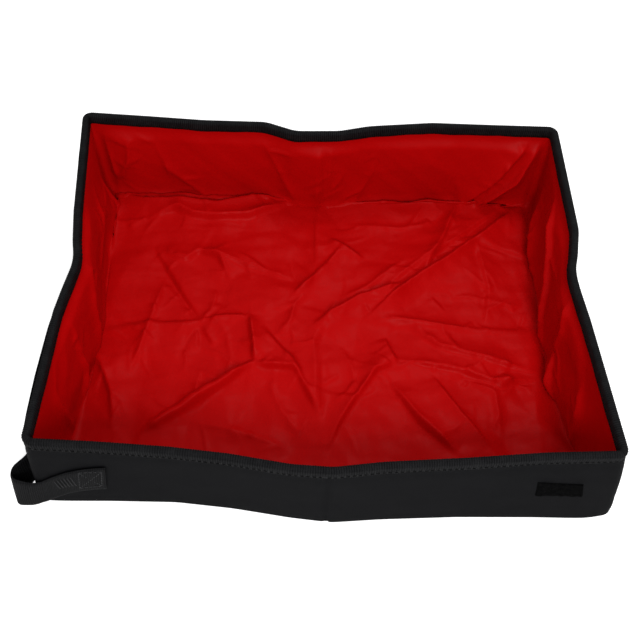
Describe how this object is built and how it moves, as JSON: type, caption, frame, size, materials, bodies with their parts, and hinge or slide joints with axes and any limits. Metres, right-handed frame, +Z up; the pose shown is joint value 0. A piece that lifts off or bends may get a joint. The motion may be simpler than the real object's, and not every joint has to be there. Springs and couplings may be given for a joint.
{
  "type": "foldable litter box",
  "caption": "Soft rectangular pet litter tray of cloth over loose boards, open at the top, that folds flat and then in half and closes with a strap.",
  "frame": {"origin": "middle of the footprint, on the surface the tray stands on", "axes": "+X to the right along the length, front wall with the strap at -Y, +Z up"},
  "size_m": [0.4188, 0.313, 0.1],
  "materials": {
    "shell": "woven polyester, matt",
    "lining": "coated cloth, soft gloss",
    "board": "plain sheet, matt",
    "binding": "ribbed tape, matt",
    "webbing": "flat webbing, matt",
    "hook_tape": "hook tape",
    "loop_patch": "loop tape, fuzzy"
  },
  "bodies": {
    "front_left_wall": {"front_left_shell": "shell", "front_left_board": "board", "front_left_lining": "lining", "front_left_binding": "binding", "strap_sewn_end": "webbing"},
    "base_front_left": {"base_front_left_shell": "shell", "base_front_left_board": "board", "base_front_left_lining": "lining"},
    "left_front_wall": {"left_front_shell": "shell", "left_front_board": "board", "left_front_lining": "lining", "left_front_binding": "binding"},
    "front_left_corner": {"front_left_gusset": "shell", "front_left_gusset_binding": "binding"},
    "back_left_wall": {"back_left_shell": "shell", "back_left_board": "board", "back_left_lining": "lining", "back_left_binding": "binding"},
    "base_back_left": {"base_back_left_shell": "shell", "base_back_left_board": "board", "base_back_left_lining": "lining"},
    "left_back_wall": {"left_back_shell": "shell", "left_back_board": "board", "left_back_lining": "lining", "left_back_binding": "binding"},
    "back_left_corner": {"back_left_gusset": "shell", "back_left_gusset_binding": "binding"},
    "front_right_wall": {"front_right_shell": "shell", "front_right_board": "board", "front_right_lining": "lining", "front_right_binding": "binding", "loop_patch": "loop_patch"},
    "base_front_right": {"base_front_right_shell": "shell", "base_front_right_board": "board", "base_front_right_lining": "lining"},
    "right_front_wall": {"right_front_shell": "shell", "right_front_board": "board", "right_front_lining": "lining", "right_front_binding": "binding"},
    "front_right_corner": {"front_right_gusset": "shell", "front_right_gusset_binding": "binding"},
    "back_right_wall": {"back_right_shell": "shell", "back_right_board": "board", "back_right_lining": "lining", "back_right_binding": "binding"},
    "base_back_right": {"base_back_right_shell": "shell", "base_back_right_board": "board", "base_back_right_lining": "lining"},
    "right_back_wall": {"right_back_shell": "shell", "right_back_board": "board", "right_back_lining": "lining", "right_back_binding": "binding"},
    "back_right_corner": {"back_right_gusset": "shell", "back_right_gusset_binding": "binding"},
    "strap_tail": {"strap_tail": "webbing"},
    "strap_end": {"strap_end": "webbing", "hook_tape": "hook_tape"}
  },
  "joints": [
    {"name": "base_fold", "type": "hinge", "parent": "back_left_wall", "child": "base_back_left", "pos_m": [-0.09141, 0.14248, 0.0034], "axis": [-1, 0, 0], "range_deg": [0, 90]},
    {"name": "mid_crease_left", "type": "hinge", "parent": "base_back_left", "child": "base_front_left", "pos_m": [-0.09141, 0.00548, -0.0003], "axis": [1, 0, 0], "range_deg": [0, 180]},
    {"name": "front_edge_left", "type": "hinge", "parent": "base_front_left", "child": "front_left_wall", "pos_m": [-0.09141, -0.13152, 0.0034], "axis": [-1, 0, 0], "range_deg": [0, 90]},
    {"name": "left_front_side_fold", "type": "hinge", "parent": "base_front_left", "child": "left_front_wall", "pos_m": [-0.18252, -0.06977, 0.0047], "axis": [0.0731, 0.9973, 0], "range_deg": [0, 90]},
    {"name": "front_left_corner_fold", "type": "hinge", "parent": "front_left_wall", "child": "front_left_corner", "pos_m": [-0.18978, -0.13882, 0.05], "axis": [0, 0, -1], "range_deg": [0, 85.81], "deforming": ["front_left_gusset", "front_left_gusset_binding"]},
    {"name": "left_back_side_fold", "type": "hinge", "parent": "base_back_left", "child": "left_back_wall", "pos_m": [-0.18252, 0.08073, 0.0047], "axis": [-0.0731, 0.9973, 0], "range_deg": [0, 90]},
    {"name": "back_left_corner_fold", "type": "hinge", "parent": "back_left_wall", "child": "back_left_corner", "pos_m": [-0.18978, 0.14978, 0.05], "axis": [0, 0, 1], "range_deg": [0, 85.81], "deforming": ["back_left_gusset", "back_left_gusset_binding"]},
    {"name": "base_fold_right", "type": "hinge", "parent": "back_right_wall", "child": "base_back_right", "pos_m": [0.10859, 0.14248, 0.0034], "axis": [-1, 0, 0], "range_deg": [0, 90]},
    {"name": "mid_crease_right", "type": "hinge", "parent": "base_back_right", "child": "base_front_right", "pos_m": [0.10859, 0.00548, -0.0003], "axis": [1, 0, 0], "range_deg": [0, 180]},
    {"name": "front_edge_right", "type": "hinge", "parent": "base_front_right", "child": "front_right_wall", "pos_m": [0.10859, -0.13152, 0.0034], "axis": [-1, 0, 0], "range_deg": [0, 90]},
    {"name": "right_front_side_fold", "type": "hinge", "parent": "base_front_right", "child": "right_front_wall", "pos_m": [0.2022, -0.06966, 0.0047], "axis": [0.04, -0.9992, 0], "range_deg": [0, 90]},
    {"name": "front_right_corner_fold", "type": "hinge", "parent": "front_right_wall", "child": "front_right_corner", "pos_m": [0.20716, -0.13882, 0.05], "axis": [0, 0, 1], "range_deg": [0, 87.71], "deforming": ["front_right_gusset", "front_right_gusset_binding"]},
    {"name": "right_back_side_fold", "type": "hinge", "parent": "base_back_right", "child": "right_back_wall", "pos_m": [0.2022, 0.08061, 0.0047], "axis": [-0.04, -0.9992, 0], "range_deg": [0, 90]},
    {"name": "back_right_corner_fold", "type": "hinge", "parent": "back_right_wall", "child": "back_right_corner", "pos_m": [0.20716, 0.14978, 0.05], "axis": [0, 0, -1], "range_deg": [0, 87.71], "deforming": ["back_right_gusset", "back_right_gusset_binding"]},
    {"name": "book_fold", "type": "hinge", "parent": "back_left_wall", "child": "back_right_wall", "pos_m": [0.00859, 0.15678, 0.05], "axis": [0, 0, 1], "range_deg": [0, 180]},
    {"name": "strap_swing", "type": "hinge", "parent": "front_left_wall", "child": "strap_tail", "pos_m": [-0.19141, -0.14642, 0.0195], "axis": [0, 0, 1], "range_deg": [0, 100]},
    {"name": "strap_wrap", "type": "hinge", "parent": "strap_tail", "child": "strap_end", "pos_m": [-0.19861, -0.07182, 0.032], "axis": [0, 0, -1], "range_deg": [0, 90], "deforming": ["strap_end", "hook_tape"]}
  ],
  "couplings": [
    {"joint": "mid_crease_left", "follows": "base_fold", "ratio": 2},
    {"joint": "front_edge_left", "follows": "base_fold", "ratio": 1},
    {"joint": "left_front_side_fold", "follows": "base_fold", "ratio": 1},
    {"joint": "front_left_corner_fold", "follows": "base_fold", "ratio": 0.9534},
    {"joint": "left_back_side_fold", "follows": "base_fold", "ratio": 1},
    {"joint": "back_left_corner_fold", "follows": "base_fold", "ratio": 0.9534},
    {"joint": "base_fold_right", "follows": "base_fold", "ratio": 1},
    {"joint": "mid_crease_right", "follows": "base_fold", "ratio": 2},
    {"joint": "front_edge_right", "follows": "base_fold", "ratio": 1},
    {"joint": "right_front_side_fold", "follows": "base_fold", "ratio": 1},
    {"joint": "front_right_corner_fold", "follows": "base_fold", "ratio": 0.97455},
    {"joint": "right_back_side_fold", "follows": "base_fold", "ratio": 1},
    {"joint": "back_right_corner_fold", "follows": "base_fold", "ratio": 0.97455},
    {"joint": "book_fold", "follows": "base_fold", "ratio": 2},
    {"joint": "strap_wrap", "follows": "base_fold", "ratio": 1}
  ]
}
